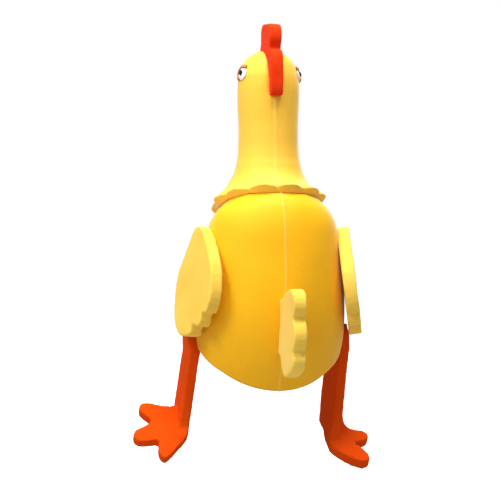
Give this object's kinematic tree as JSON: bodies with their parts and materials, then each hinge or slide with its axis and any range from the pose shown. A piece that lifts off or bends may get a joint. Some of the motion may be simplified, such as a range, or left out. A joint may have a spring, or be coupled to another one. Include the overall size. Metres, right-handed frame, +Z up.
{
  "type": "rubber chicken foam hat",
  "caption": "Hollow foam costume hat shaped as a chicken, with a long neck, comb, beak, wings, tail and dangling legs; the wearer's head goes in from below.",
  "frame": {"origin": "crown of the hollow, where the wearer's head touches the foam", "axes": "+Z up the neck, -Y the way the chicken faces, +X the chicken's left"},
  "size_m": [0.2882, 0.2654, 0.5311],
  "materials": {
    "yellow_foam": "matte fine-cell foam",
    "pale_foam": "matte fine-cell foam",
    "orange_foam": "matte fine-cell foam",
    "red_foam": "matte fine-cell foam",
    "eye_white": "matte fine-cell foam",
    "pupil": "matte black",
    "eyelid": "matte fine-cell foam"
  },
  "bodies": {
    "hat": {"body_shell_left": "yellow_foam", "body_shell_right": "yellow_foam", "neck_skirt_left": "yellow_foam", "neck_skirt_right": "yellow_foam", "wing_root_left": "pale_foam", "wing_root_right": "pale_foam", "leg_tab_left": "orange_foam", "leg_tab_right": "orange_foam", "tail_root": "pale_foam"},
    "head": {"neck_shell_left": "yellow_foam", "neck_shell_right": "yellow_foam", "comb": "red_foam", "beak_upper": "orange_foam", "beak_lower": "orange_foam", "tongue": "red_foam", "eye_white_left": "eye_white", "eye_white_right": "eye_white", "pupil_left": "pupil", "pupil_right": "pupil", "eyelid_left": "eyelid", "eyelid_right": "eyelid", "wattle_left": "red_foam", "wattle_right": "red_foam"},
    "wing_l": {"wing_left": "pale_foam"},
    "wing_r": {"wing_right": "pale_foam"},
    "leg_l": {"leg_left": "orange_foam", "foot_left": "orange_foam"},
    "leg_r": {"leg_right": "orange_foam", "foot_right": "orange_foam"},
    "tail_blade": {"tail": "pale_foam"}
  },
  "joints": [
    {"name": "neck_nod", "type": "hinge", "parent": "hat", "child": "head", "pos_m": [0, 0, 0.024], "axis": [1, 0, 0], "range_deg": [-6, 6], "stiffness_Nm_per_rad": 1},
    {"name": "wing_left_flap", "type": "hinge", "parent": "hat", "child": "wing_l", "pos_m": [0.09465, 0.03092, -0.05992], "axis": [0.2764, -0.961, 0], "range_deg": [0, 35], "stiffness_Nm_per_rad": 0.05},
    {"name": "wing_right_flap", "type": "hinge", "parent": "hat", "child": "wing_r", "pos_m": [-0.09465, 0.03092, -0.05992], "axis": [0.2764, 0.961, 0], "range_deg": [0, 35], "stiffness_Nm_per_rad": 0.05},
    {"name": "leg_left_swing", "type": "hinge", "parent": "hat", "child": "leg_l", "pos_m": [0.09849, -0.00961, -0.18], "axis": [0.06, -0.9982, 0], "range_deg": [-8, 50], "stiffness_Nm_per_rad": 0.05},
    {"name": "leg_right_swing", "type": "hinge", "parent": "hat", "child": "leg_r", "pos_m": [-0.0959, -0.01116, -0.18], "axis": [-0.179, 0.9838, 0], "range_deg": [-8, 50], "stiffness_Nm_per_rad": 0.05},
    {"name": "tail_wag", "type": "hinge", "parent": "hat", "child": "tail_blade", "pos_m": [0, 0.096, -0.15], "axis": [0, 0, 1], "range_deg": [-15, 15], "stiffness_Nm_per_rad": 0.05}
  ]
}
